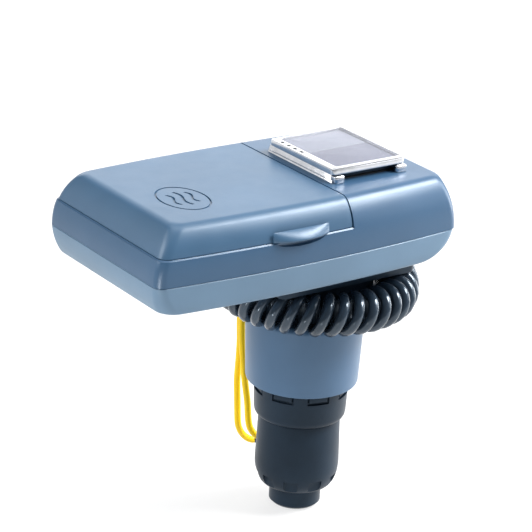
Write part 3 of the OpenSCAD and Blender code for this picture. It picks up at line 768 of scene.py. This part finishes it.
def blue_lid():
    """The lid's shell, lofted from the middle of its ceiling down inside, and up outside to its top."""
    low = BAND_H + LID_GAP
    outer = []
    for end, _, side, z in upper_profile(low + 0.25, 14):
        fade = 1 - (z - BAND_H) / (TOP_H - BAND_H)
        outer.append((end + LID_END_INSET * fade, side + LID_INSET * fade, z))
    rings = [lid_ring(inset, LID_RIGHT + 2.5 - inset, inset + 0.5, (2, 1.0), TOP_H - WALL)
             for inset in (9.5, 8.5)]
    for end, side, z in outer[::-1]:
        if z < TOP_H - 2 * WALL:
            rings.append(lid_ring(end + WALL, LID_RIGHT - WALL, side + WALL, (3, 0.5), z))
    end, side, _ = outer[0]
    rings.append(lid_ring(end + WALL, LID_RIGHT - WALL, side + WALL, (3, 0.5), low))
    rings.append(lid_ring(end + 0.2, LID_RIGHT - 0.2, side + 0.2, (3.5, 0.4), low))
    last_end, last_side, _ = outer[-1]
    for end, side, z in outer + [(last_end + 1, last_side + 1, TOP_H)]:
        into = max(0.0, z - (TOP_H - LID_EDGE))
        pulled = LID_EDGE - math.sqrt(max(0.0, LID_EDGE ** 2 - into ** 2))
        rings.append(lid_ring(end, LID_RIGHT - pulled, side, (upper_corner(z), 0.6), z))
    rings.append(lid_ring(last_end + 3, LID_RIGHT - 3, last_side + 3, (4, 0.6), TOP_H))
    return make("lid_shell", *loft_data(rings), slot="case_lid", body="lid", replaces=("lid",))


LIP_REACH = 2.9
LIP_TOP = BAND_H + 3.4
LIP_ROOT = 0.6  # how far the lip is sunk into the lid's wall


def finger_lip():
    """The crescent ledge that a finger lifts the lid by."""
    rings = []
    steps = 40
    for i in range(steps + 1):
        u = -1 + 2 * i / steps
        x = LIP_X + LIP_HALF * u
        wall = -(HALF_W - LID_INSET) * bow(x) + LIP_ROOT
        reach = 0.5 + LIP_REACH * max(0.005, 1 - u * u) ** 0.85
        section = [(0, LIP_TOP + 0.2), (0.30, LIP_TOP - 0.1), (0.72, LIP_TOP - 1.35),
                   (0.95, LIP_TOP - 2.25), (1.0, LIP_TOP - 2.6), (0.97, LIP_TOP - 2.95),
                   (0.9, LIP_TOP - 3.1), (0, BAND_H + LID_GAP)]
        rings.append([(x + MID_X, wall - reach * out, z + SEAM) for out, z in section])
    return rings


def lid_details(lid):
    make("lid_finger_lip", *loft_data(finger_lip()), slot="case_lid", body="lid")
    knuckles = []
    for x in HINGE_SPOTS:
        knuckles.append(hinge_barrel(x - KNUCKLE_HALF, x + KNUCKLE_HALF))
        knuckles.append(block(MID_X + x - KNUCKLE_HALF, MID_X + x + KNUCKLE_HALF, HALF_W - 2.8,
                              HINGE_Y - 0.4, HINGE_Z + 0.15, HINGE_Z + 1.95, 0.3, 0.2))
    make("lid_knuckles", *joined(*knuckles), slot="case_lid", body="lid")
    emboss_mark(lid)


MARK_CENTRE = (-36.5, -9.0)
MARK_DEPTH = 0.45
MARK_OUTSIDE = (8.6, 11.8)
MARK_INSIDE = (7.9, 11.1)
WAVE_PITCH = 3.6
WAVE_SWING = 0.9
WAVE_THICK = 1.0


def ellipse(cx, cy, rx, ry, steps=56):
    return [(cx + rx * math.cos(2 * math.pi * k / steps), cy + ry * math.sin(2 * math.pi * k / steps))
            for k in range(steps)]


def wave(cx, cy, length, swing, thick, steps=22):
    """A closed ribbon that snakes once along Y."""
    ys = [cy - length / 2 + length * i / steps for i in range(steps + 1)]
    centre = [cx + swing * math.sin(2 * math.pi * (y - cy) / length) for y in ys]
    return ([(x + thick / 2, y) for x, y in zip(centre, ys)]
            + [(x - thick / 2, y) for x, y in zip(centre[::-1], ys[::-1])])


def emboss_mark(lid):
    """A plain decorative mark sunk into the lid: an oval ring round three waves."""
    def place(outline, z):
        return [(x + MID_X, y, z + SEAM) for x, y in outline]
    cx, cy = MARK_CENTRE
    low, high = TOP_H - MARK_DEPTH, TOP_H + 1
    outer = ellipse(cx, cy, *MARK_OUTSIDE)
    inner = ellipse(cx, cy, *MARK_INSIDE)
    rings = [place(outer, low), place(outer, high), place(inner, high), place(inner, low)]
    boolean(lid, loft_data(rings, closed=True))
    for step in (-1, 0, 1):
        ribbon = wave(cx + WAVE_PITCH * step, cy, 13.0 - 3.0 * abs(step), WAVE_SWING, WAVE_THICK)
        boolean(lid, loft_data([place(ribbon, low), place(ribbon, high)]))


SWEEP = 13.0  # how far the rounded end under the panel comes in
SWEEP_SHARE = 0.985  # of a full quarter circle
# How far the other walls come in towards the bottom, and the fillets at their foot.
END_DRAFT, END_FILLET, END_FILLET_FROM = 3.1, 0.6, 0.85
SIDE_DRAFT, SIDE_FILLET, SIDE_FILLET_FROM = 0.7, 0.5, 0.88
SCREW_SPOTS = ((-52, 29), (-52, -29), (50, 26.5), (50, -26.5))
COUNTERBORE = [(0, -1), (3.4, -1), (3.4, 0.02), (3.0, 0.4), (3.0, 2.6), (0, 2.6)]


def fillet(t, start):
    """0 up to the start, and from there a curve up to 1 at t = 1."""
    return max(0.0, (t - start) / (1 - start)) ** 3


def lower_profile(steps=26):
    """(lid-end inset, solar-end inset, side inset, height) from the bottom flat up to the seam."""
    profile = []
    for i in range(steps + 1):
        angle = math.pi / 2 * i / steps
        t = math.cos(angle)
        sweep = SWEEP * (1 - math.sqrt(max(0.0, 1 - (SWEEP_SHARE * t) ** 2)))
        end = END_DRAFT * t ** 2 + END_FILLET * fillet(t, END_FILLET_FROM)
        side = SIDE_DRAFT * t ** 5 + SIDE_FILLET * fillet(t, SIDE_FILLET_FROM)
        profile.append((end, sweep, side, -BASE_H * t))
    return profile


def blue_case_lower():
    """The paler tray below the seam."""
    rings = []
    for end, sweep, side, z in lower_profile():
        r = 3.6 - 2.4 * z / BASE_H
        z = min(z, -0.2)
        rings.append(in_box(plan(end - HALF_L, HALF_L - sweep, HALF_W - side, (r, r + 1)), z))
    rings.append(in_box(plan(0.2 - HALF_L, HALF_L - 0.2, HALF_W - 0.2, (3.5, 3.5)), 0))
    case = make("case_bottom_shell", *loft_data(rings), slot="case_lower", replaces=("lower_case",))
    hollow = plan(4.6 - HALF_L, HALF_L - 7.2, HALF_W - 2.6, (4, 4))
    boolean(case, loft_data([in_box(hollow, WALL - BASE_H), in_box(hollow, 1)]))
    for x, y in SCREW_SPOTS:
        boolean(case, moved(lathe(COUNTERBORE, 40), (x + MID_X, y, SEAM - BASE_H)))


blue_case_upper()
case_hinge_ears()
lid_details(blue_lid())
blue_case_lower()


# ---------------------------------------------------------------- solar panel
VENTS = 4
VENT_Y = 11.5
VENT_PITCH = 3.9
VENT_W = 1.3
VENT_L = 1.9
LINER_GAP = 0.05
FOOT_W = 4.6
FOOT_BACK = -18.2
TRAY_WALL = 1.3
TRAY_LOW, TRAY_HIGH = 0.4, 0.9  # the tray's floor, from the tray's underside


def ring_inside(low, high, inset, radius, z):
    """A ring inside the sides of the box from low to high."""
    outline = rectangle(low[0] + inset, high[0] - inset, low[1] + inset, high[1] - inset, (radius, radius), 8)
    return at_height(outline, z)


def panel_frame():
    """The bright frame and the four dark slots in its left side."""
    low, high = span("solar_frame")
    glass_low, glass_high = span("solar_glass")
    foot, top = low[2], high[2]
    outside = ((foot, 0.25), (foot + 0.25, 0), (top - 0.35, 0), (top - 0.1, 0.08), (top, 0.24))
    inside = ((top, -0.15), (top - 0.1, -0.1), (foot, -0.1))
    rings = [ring_inside(low, high, inset, 1.7 - inset * 0.5, z) for z, inset in outside]
    rings += [ring_inside(glass_low, glass_high, inset, 0.5, z) for z, inset in inside]
    trim = make("panel_chrome_frame", *loft_data(rings, closed=True), slot="chrome_trim",
                replaces=("solar_frame",))
    liners = []
    for i in range(VENTS):
        x0 = low[0] + 1
        y0 = VENT_Y - VENT_PITCH * i
        boolean(trim, block(x0, x0 + VENT_W, y0, y0 + VENT_L, top - 0.9, top + 1, 0.3, 0.1, 3))
        liners.append(block(x0 + LINER_GAP, x0 + VENT_W - LINER_GAP, y0 + LINER_GAP, y0 + VENT_L - LINER_GAP,
                            top - 0.8, top - 0.25, 0.25, 0.05, 3))
    make("panel_slot_liners", *joined(*liners), slot="panel_backing")


def wedge(x0, x1, y0, y1, z0, z1, lean):
    """An upright strip whose outer face leans back towards its top."""
    rings = []
    for z, t in ((z0, 0), (z1 - 0.25, 0.85), (z1 - 0.06, 0.93), (z1, 1)):
        rings.append(at_height(rectangle(x0 + lean * t, x1, y0 + 0.2 * t, y1, (0.14, 0.05), 3), z))
    return loft_data(rings)


def panel_tray():
    """The bright tray: its left wall, its floor and its two front feet."""
    low, high = span("solar_tray")
    parts = [
        wedge(low[0], low[0] + TRAY_WALL, -19.6, high[1], low[2], high[2] - 0.05, 1.0),
        block(low[0] + 0.2, high[0], -16, high[1], low[2] + TRAY_LOW, low[2] + TRAY_HIGH, 0.6, 0.15),
        block(high[0] - 3, high[0], -18.6, -15, low[2] + TRAY_LOW, low[2] + TRAY_HIGH, 0.3, 0.15),
        block(low[0] + 0.3, low[0] + FOOT_W, low[1], FOOT_BACK, low[2], high[2], 0.9, 0.4),
        block(high[0] - FOOT_W, high[0], low[1], FOOT_BACK, low[2], high[2], 0.9, 0.4),
    ]
    make("panel_chrome_tray", *joined(*parts), slot="chrome_trim", replaces=("solar_tray",))


def panel_stack():
    # The rear cell gets the lighter film, whose extra lightness is a painted reflection.
    for node, slot in (("solar_cell_rear", "cell_light"), ("solar_cell_front", "cell_dark"),
                       ("solar_backplate", "panel_backing"), ("solar_glass", "panel_glass"),
                       ("solar_carrier", "black_plastic")):
        make(node + "_piece", *box_of(node, 0.3, 0.12), slot=slot, replaces=(node,))


panel_frame()
panel_tray()
panel_stack()


# ---------------------------------------------------------------- dock, neck and glands
SADDLE_H = 5.6
SPOOL_R = 17.8
SPOOL_FRONT_R = 20.9
SPOOL_FRONT_FROM = 8
NECK_GAP = 0.2
LEDGE = (14, 30.5, -5, 7)
LEDGE_T = 1.6


def turned_drum(radius, z0, z1):
    return lathe(soften([(0, z0), (radius, z0), (radius, z1), (0, z1)], 0.8))


def half_drum(radius, back, z0, z1, steps=48):
    """The front of a drum, cut off flat at its back."""
    half = math.acos(back / radius)
    outline = [(radius * math.cos(a - math.pi / 2), radius * math.sin(a - math.pi / 2))
               for a in (-half + 2 * half * i / steps for i in range(steps + 1))]
    return loft_data([at_height([(x * k, y * k) for x, y in outline], z)
                      for z, k in ((z0, 0.97), (z0 + 0.6, 1), (z1, 1))])


def dock_and_neck():
    """The saddle under the box, the spool and the ledge below it, and the neck's column."""
    low, high = span("dock_bracket")
    neck_low, neck_high = span("neck_post")
    bottom, top = low[2], high[2]
    plate = neck_high[2] - SADDLE_H
    make("dock_saddle", *block(low[0], high[0], low[1], high[1], plate, top, 2.5, 0.6),
         slot="black_plastic", replaces=("dock_bracket",))
    centre = (RING_CENTRE[0], RING_CENTRE[1], 0)
    spool = make("dock_spool", *moved(turned_drum(SPOOL_R, bottom, plate + 0.5), centre),
                 slot="black_plastic")
    boolean(spool, moved(half_drum(SPOOL_FRONT_R, SPOOL_FRONT_FROM, bottom, top), centre), "UNION")
    boolean(spool, block(*LEDGE, bottom, bottom + LEDGE_T, 1.5, 0.4), "UNION")
    bore = NECK_R + NECK_GAP
    boolean(spool, lathe([(0, bottom - 1), (bore, bottom - 1), (bore, plate), (0, plate)]))
    notch_for_gland = block(-6, 6, 0, SPOOL_R + 5, bottom - 1, GLAND_Z + 6.2, 0.5, 0.2)
    boolean(spool, notch_for_gland)
    foot, tip = neck_low[2], neck_high[2]
    shoulder = tip - 5.7
    column = lathe(soften([(0, foot), (NECK_R, foot), (NECK_R, shoulder), (10, shoulder), (10, tip),
                           (0, tip)], 0.4))
    pad = block(-5, 5, 6, neck_high[1], GLAND_Z - 5.5, GLAND_Z + 5.5, 0.6, 0.4)
    make("neck_column", *joined(column, pad), slot="black_plastic", replaces=("neck_post",))


RIBS = 3
RIB_DEPTH = 0.45
FLANGE_SHARE = 0.25  # of a strain relief's length


def strain_relief(length, wide):
    """A ribbed sleeve for the lead along Z, from its flange at 0 to its tip."""
    narrow = LEAD_D / 2 + 0.7
    flange = length * FLANGE_SHARE
    profile = [(0, 0), (wide, 0), (wide, flange)]
    step = (length - flange) / RIBS
    for i in range(RIBS):
        z = flange + i * step
        r = narrow + (wide * 0.78 - narrow) * (1 - i / RIBS)
        profile += [(r, z + 0.05), (r, z + step * 0.55), (r - RIB_DEPTH, z + step * 0.6),
                    (r - RIB_DEPTH, z + step)]
    profile += [(narrow - 0.2, length), (0, length)]
    return lathe(soften(profile, 0.12, 2), 48)


def glands():
    """The two cords' strain reliefs, and the sensor wire's grommet."""
    bottom = SEAM - BASE_H
    down = Matrix.Rotation(math.pi, 3, "X")
    sleeve = strain_relief(bottom - span("box_gland")[0][2], 4.6)
    make("box_strain_relief", *moved(sleeve, (*BOX_EXIT, bottom), down), slot="black_rubber",
         replaces=("box_gland",))
    start = span("neck_post")[1][1]
    back = Matrix.Rotation(-math.pi / 2, 3, "X")
    sleeve = strain_relief(span("actuator_gland")[1][1] - start, 4.4)
    make("neck_strain_relief", *moved(sleeve, (0, start, GLAND_Z), back), slot="black_rubber",
         replaces=("actuator_gland",))
    low = span("sensor_grommet")[0][2]
    button = lathe(soften([(0, low), (3.6, low), (4, bottom - 0.4), (4, bottom), (0, bottom)], 0.5), 48)
    make("wire_grommet", *moved(button, (-5, 33, 0)), slot="black_rubber", replaces=("sensor_grommet",))


dock_and_neck()
glands()


# ---------------------------------------------------------------- actuator
ROUND = 160
HOUSING_EDGE = 2.2
HOUSING_FOOT = 1.6
HOUSING_BORE = 17.5
WINDOWS = 8
WINDOW_TURN = math.radians(31.5)


def arc_angles(steps, first=0):
    return [math.pi / 2 * i / steps for i in range(first, steps + 1)]


def housing():
    """The blue drum, open at its foot, with its top edge rounded over."""
    top = housing_high[2]
    foot = HOUSING_R - HOUSING_FOOT
    profile = [(0, BASE_TOP + 1), (foot, BASE_TOP + 1), (foot, BASE_TOP), (HOUSING_R - 0.9, BASE_TOP),
               (HOUSING_R - 0.25, BASE_TOP + 0.35), (HOUSING_R, BASE_TOP + 1.1)]
    wide = HOUSING_R + HOUSING_DRAFT - HOUSING_EDGE
    profile += [(wide + HOUSING_EDGE * math.cos(a), top - HOUSING_EDGE + HOUSING_EDGE * math.sin(a))
                for a in arc_angles(10)]
    profile += [(NECK_R - 1, top), (0, top)]
    shell = make("actuator_shell", *lathe(profile, ROUND), slot="housing_blue",
                 replaces=("actuator_housing",))
    well = [(0, BASE_TOP - 1), (HOUSING_BORE, BASE_TOP - 1), (HOUSING_BORE, top - WALL), (0, top - WALL)]
    boolean(shell, lathe(well, 96))


def collar():
    """The black collar under the drum, with eight pockets and a snap tab in each."""
    low, high = CUP_TOP - 7.8, BASE_TOP + 3.9
    profile = [(0, low), (12, low), (12, CUP_TOP), (15.2, CUP_TOP), (15.8, CUP_TOP + 0.12),
               (16.3, CUP_TOP + 0.5), (16.65, CUP_TOP + 1.1), (16.85, CUP_TOP + 2.2),
               (17.35, BASE_TOP - 0.15), (17.2, BASE_TOP), (17.2, high), (8, high), (0, high)]
    base = make("actuator_collar", *lathe(profile, ROUND), slot="black_plastic", replaces=("actuator_base",))
    tabs = []
    for i in range(WINDOWS):
        turn = Matrix.Rotation(WINDOW_TURN + 2 * math.pi / WINDOWS * i, 3, "Z")
        pocket = block(16.0, 20, -4.2, 4.2, BASE_TOP - 4.0, BASE_TOP - 0.6, 0.5, 0.15, 3)
        boolean(base, moved(pocket, turn=turn))
        tab = block(15.5, 16.75, -3.5, 3.5, BASE_TOP - 3.2, BASE_TOP - 0.2, 0.3, 0.2, 3)
        tabs.append(moved(tab, turn=turn))
    make("collar_snap_tabs", *joined(*tabs), slot="black_plastic")


CUP_TAPER = 0.5
CUP_FOOT = 4.0
CUP_FOOT_H = 9.0
SPIGOT_R = 9.5
FLUTES = 10
FLUTE_TURN = 0.3  # of a flute's share of the circle


def adapter():
    """The black cup with its rounded, fluted foot, and the spigot below it."""
    low, high = span("valve_adapter")
    foot, top = low[2], high[2]
    profile = [(0, foot), (SPIGOT_R - 0.9, foot), (SPIGOT_R, foot + 0.9), (SPIGOT_R, 0),
               (CUP_R - CUP_FOOT, 0)]
    profile += [(CUP_R - CUP_FOOT + CUP_FOOT * math.sin(a), CUP_FOOT_H * (1 - math.cos(a)))
                for a in arc_angles(14, 2)]
    r = CUP_R - CUP_TAPER
    profile += [(CUP_R, CUP_FOOT_H + 1), (r, top - 1.0), (r - 0.15, top - 0.4), (r - 0.6, top), (0, top)]
    cup = make("adapter_cup", *lathe(profile, ROUND), slot="black_plastic", replaces=("valve_adapter",))
    for i in range(FLUTES):
        turn = Matrix.Rotation(2 * math.pi * (i + FLUTE_TURN) / FLUTES, 3, "Z")
        flute = block(13.4, 20, -2.6, 2.6, 0.5, 5.6, 0.7, 0.4, 4)
        boolean(cup, moved(flute, turn=turn))


SPRING_TURNS = 5
SPRING_WIRE_R = 0.35
SPRING_END_GAP = 0.05
SPRING_STEPS = 16 * SPRING_TURNS


def return_spring():
    """The plunger's spring, whose upper end is the fixed one; its mesh is made at one length."""
    low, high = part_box("plunger_spring")
    radius = (high[0] - low[0]) / 2 / MM - SPRING_WIRE_R
    foot = low[2] / MM + SPRING_WIRE_R + SPRING_END_GAP
    rise = high[2] / MM - SPRING_WIRE_R - SPRING_END_GAP - foot
    route = []
    for k in range(SPRING_STEPS + 1):
        turned = 2 * math.pi * SPRING_TURNS * k / SPRING_STEPS
        route.append((radius * math.cos(turned), radius * math.sin(turned), foot + rise * k / SPRING_STEPS))
    spring = make("return_spring", *swept(route, [SPRING_WIRE_R] * len(route), 10),
                  slot=SLOTS["plunger_spring"], replaces=("plunger_spring",))
    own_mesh(spring)


housing()
collar()
adapter()
return_spring()


# ---------------------------------------------------------------- carried-over CAD nodes
for node, obj in frame["nodes"].items():
    if not obj.hide_render:
        dress(obj, SLOTS[node])


# ---------------------------------------------------------------- stage and light
# Lights and the floor are placed in metres.
FLOOR_Z = (SPIGOT_END - 0.5) * MM
FLOOR_HALF = 6.0
FLOOR_GREY = 0.25
FLOOR_GLOW = 0.70
MIDDLE = (MID_X * MM, 0, 0.09)
SKY = (0.90, 0.95, 1.0)
SKY_STRENGTH = 0.21


def stage():
    """A pale floor that glows, so that the ground stays as white as the photo's."""
    corners = [(x * FLOOR_HALF, y * FLOOR_HALF, FLOOR_Z) for x, y in ((-1, -1), (1, -1), (1, 1), (-1, 1))]
    mesh = bpy.data.meshes.new("floor")
    mesh.from_pydata(corners, [], [(0, 1, 2, 3)])
    floor = bpy.data.objects.new("floor", mesh)
    bpy.context.collection.objects.link(floor)
    shader = Shader("pale_floor", 0.7)
    shader.main.inputs["Base Color"].default_value = (FLOOR_GREY, FLOOR_GREY, FLOOR_GREY, 1)
    shader.main.inputs["Emission Color"].default_value = (1, 1, 1, 1)
    shader.main.inputs["Emission Strength"].default_value = FLOOR_GLOW
    mesh.materials.append(shader.material)


def area_light(name, place, aim, size, power, spread=180):
    """A lamp that the camera doesn't see; its spread is in degrees."""
    data = bpy.data.lights.new(name, "AREA")
    data.shape = "RECTANGLE"
    data.size, data.size_y = size
    data.energy = power
    data.spread = math.radians(spread)
    lamp = bpy.data.objects.new(name, data)
    bpy.context.collection.objects.link(lamp)
    lamp.location = place
    lamp.visible_camera = False
    lamp.rotation_mode = "QUATERNION"
    lamp.rotation_quaternion = (Vector(aim) - Vector(place)).to_track_quat("-Z", "Y")


def facing(x, y, z, distance):
    """A place for a lamp, in a direction from the middle of the object."""
    return (MIDDLE[0] + x * distance, y * distance, MIDDLE[2] + z * distance)


def lights():
    world = bpy.data.worlds.new("studio")
    bpy.context.scene.world = world
    world.use_nodes = True
    world.node_tree.nodes["Background"].inputs["Color"].default_value = (*SKY, 1)
    world.node_tree.nodes["Background"].inputs["Strength"].default_value = SKY_STRENGTH
    area_light("top_box", facing(0.1, 0.1, 0.99, 1.2), MIDDLE, (1.0, 1.0), 8.5)
    area_light("back_box", facing(0.546, 0.754, 0.365, 1.2), MIDDLE, (1.3, 0.8), 6.5)
    area_light("edge_box", facing(0.62, -0.33, 0.72, 1.0), MIDDLE, (0.50, 0.40), 20.0)
    area_light("left_box", facing(-0.82, 0.25, 0.52, 0.9), MIDDLE, (0.6, 0.5), 6.6)
    area_light("low_left_box", facing(-0.615, 0.754, 0.18, 1.2), MIDDLE, (0.8, 0.5), 0.9)
    area_light("corner_glint", (-0.32, -0.20, 0.004), (-0.084, -0.035, 0.108), (0.05, 0.05), 0.012, 24)
    area_light("right_front_box", (0.135, -0.15, 0.17), (0.01, -0.02, 0.10), (0.08, 0.10), 0.05)
    area_light("right_strip", facing(0.93, -0.15, 0.10, 0.9), MIDDLE, (0.30, 0.7), 5.5)
    bpy.context.scene.view_settings.view_transform = "Standard"


stage()
lights()
